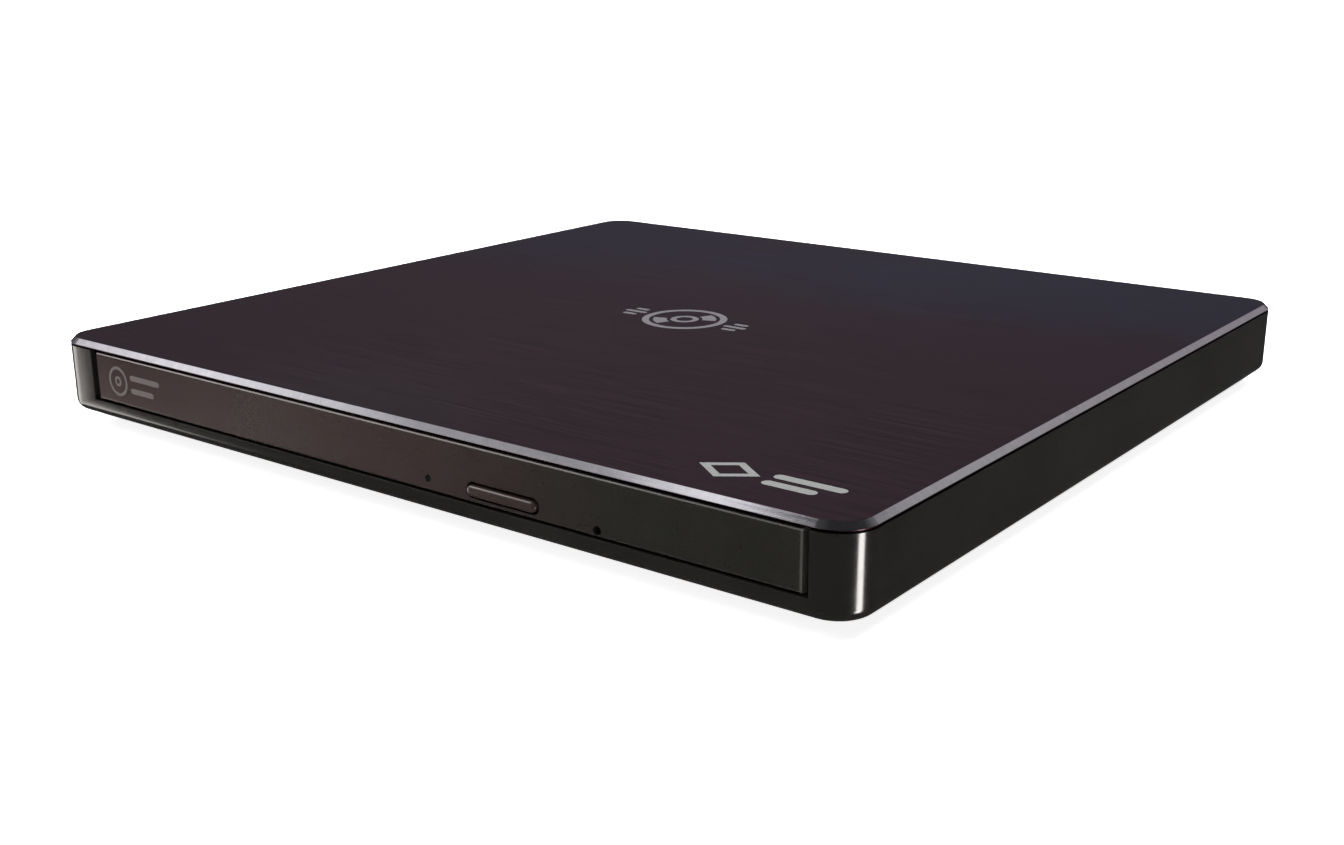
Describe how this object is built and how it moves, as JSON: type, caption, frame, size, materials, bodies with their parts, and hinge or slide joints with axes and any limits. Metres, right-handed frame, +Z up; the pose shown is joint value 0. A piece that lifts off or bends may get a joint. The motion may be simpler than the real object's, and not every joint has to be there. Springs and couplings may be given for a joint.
{
  "type": "external optical drive",
  "caption": "Slim tray-loading optical disc drive in a flat black enclosure with a brushed top plate, eject button and rear cable socket.",
  "frame": {"origin": "on the surface that the feet stand on, under the middle of the case", "axes": "+X to the right across the front, -Y the side the tray comes out of, +Z up"},
  "size_m": [0.144, 0.1376, 0.014],
  "materials": {
    "top_aluminium": "dark anodised, brushed along the width, with a bright cut bevel",
    "frame_plastic": "fine moulded black",
    "case_plastic": "glossy black walls over a textured underside",
    "foot_rubber": "matt",
    "screw_steel": "zinc plated",
    "label_film": "blank satin film",
    "cushion_rubber": "matt",
    "board_green": "solder mask over copper traces",
    "chip_black": "moulded packages",
    "port_steel": "bright shell",
    "connector_black": "moulded",
    "chassis_steel": "zinc-coated sheet, satin",
    "guide_plastic": "slippery natural plastic",
    "pin_steel": "turned",
    "rail_steel": "polished strip",
    "tray_plastic": "fine moulded black",
    "bezel_plastic": "semi-gloss warm black",
    "button_plastic": "semi-gloss black",
    "lens_clear": "clear light pipe",
    "flex_film": "amber film with copper traces",
    "traverse_metal": "dark cast frame",
    "cover_steel": "satin sheet",
    "ring_rubber": "soft matt",
    "motor_metal": "plated",
    "turntable_black": "satin",
    "claw_plastic": "grey moulded",
    "rod_steel": "ground and polished",
    "sled_metal": "die-cast alloy",
    "nut_plastic": "natural plastic",
    "magnet_metal": "nickel plated",
    "holder_plastic": "black moulded",
    "objective_glass": "coated lens",
    "stepper_metal": "drawn can",
    "solenoid_copper": "enamelled winding",
    "spring_steel": "wire"
  },
  "bodies": {
    "housing": {"top_plate": "top_aluminium", "top_frame": "frame_plastic", "bottom_case": "case_plastic", "feet": "foot_rubber", "enclosure_screws": "screw_steel", "rating_label": "label_film", "drive_cushions": "cushion_rubber", "bridge_board": "board_green", "bridge_chips": "chip_black", "usb_port": "port_steel", "sata_socket": "connector_black", "board_screws": "screw_steel", "drive_base": "chassis_steel", "drive_lid": "chassis_steel", "lid_screws": "screw_steel", "drive_screws": "screw_steel", "rail_guide_left": "guide_plastic", "rail_guide_right": "guide_plastic", "rear_board": "board_green", "drive_connector": "connector_black", "lock_pin": "pin_steel", "flex_cable": "flex_film"},
    "tray": {"tray": "tray_plastic", "bezel": "bezel_plastic", "tray_screws": "screw_steel", "tray_bottom_plate": "chassis_steel", "tray_board": "board_green", "tray_chips": "chip_black", "eject_switch": "connector_black", "activity_lens": "lens_clear", "traverse_frame": "traverse_metal", "traverse_cover": "cover_steel", "cover_screws": "screw_steel", "traverse_dampers": "ring_rubber", "traverse_screws": "screw_steel", "spindle_stator": "motor_metal", "guide_rods": "rod_steel", "stepper_motor": "stepper_metal", "solenoid": "solenoid_copper", "lever_pivot": "pin_steel", "eject_plunger": "guide_plastic", "eject_spring": "spring_steel"},
    "rail_left": {"rail_left": "rail_steel"},
    "rail_right": {"rail_right": "rail_steel"},
    "eject_button": {"eject_button": "button_plastic"},
    "spindle": {"turntable": "turntable_black", "turntable_ring": "ring_rubber"},
    "claw_1": {"claw_1": "claw_plastic"},
    "claw_2": {"claw_2": "claw_plastic"},
    "claw_3": {"claw_3": "claw_plastic"},
    "sled": {"sled": "sled_metal", "sled_nut": "nut_plastic", "focus_magnets": "magnet_metal"},
    "lens": {"lens_holder": "holder_plastic", "objective_lens": "objective_glass"},
    "lead_screw": {"lead_screw": "rod_steel"},
    "lock_lever": {"lock_lever": "guide_plastic"}
  },
  "joints": [
    {"name": "tray_slide", "type": "slide", "parent": "housing", "child": "tray", "axis": [0, -1, 0], "range_m": [0, 0.125], "deforming": ["flex_cable"]},
    {"name": "rail_left_slide", "type": "slide", "parent": "housing", "child": "rail_left", "axis": [0, -1, 0], "range_m": [0, 0.0625]},
    {"name": "rail_right_slide", "type": "slide", "parent": "housing", "child": "rail_right", "axis": [0, -1, 0], "range_m": [0, 0.0625]},
    {"name": "eject_button_press", "type": "slide", "parent": "tray", "child": "eject_button", "axis": [0, 1, 0], "range_m": [0, 0.0005], "stiffness_N_per_m": 800, "springref_m": -0.0005},
    {"name": "spindle_spin", "type": "hinge", "parent": "tray", "child": "spindle", "pos_m": [0.00175, -0.0048, 0.0095], "axis": [0, 0, 1], "continuous": true},
    {"name": "sled_slide", "type": "slide", "parent": "tray", "child": "sled", "axis": [0.7071, -0.7071, 0], "range_m": [0, 0.0318]},
    {"name": "lead_screw_spin", "type": "hinge", "parent": "tray", "child": "lead_screw", "pos_m": [0.01391, 0.00736, 0.0074], "axis": [0.7071, -0.7071, 0], "range_deg": [-3816.5, 0]},
    {"name": "lens_focus", "type": "slide", "parent": "sled", "child": "lens", "axis": [0, 0, 1], "range_m": [-0.0003, 0.0003], "stiffness_N_per_m": 150},
    {"name": "lock_lever_turn", "type": "hinge", "parent": "tray", "child": "lock_lever", "pos_m": [0.0435, 0.042, 0.0068], "axis": [0, 0, 1], "range_deg": [0, 13]},
    {"name": "claw_1_slide", "type": "slide", "parent": "spindle", "child": "claw_1", "axis": [0, 1, 0], "range_m": [-0.0004, 0], "stiffness_N_per_m": 400, "springref_m": 0.0004},
    {"name": "claw_2_slide", "type": "slide", "parent": "spindle", "child": "claw_2", "axis": [-0.866, -0.5, 0], "range_m": [-0.0004, 0], "stiffness_N_per_m": 400, "springref_m": 0.0004},
    {"name": "claw_3_slide", "type": "slide", "parent": "spindle", "child": "claw_3", "axis": [0.866, -0.5, 0], "range_m": [-0.0004, 0], "stiffness_N_per_m": 400, "springref_m": 0.0004}
  ],
  "couplings": [
    {"joint": "rail_left_slide", "follows": "tray_slide", "ratio": 0.5},
    {"joint": "rail_right_slide", "follows": "tray_slide", "ratio": 0.5},
    {"joint": "lead_screw_spin", "follows": "sled_slide", "rad_per_m": -2094.4}
  ]
}
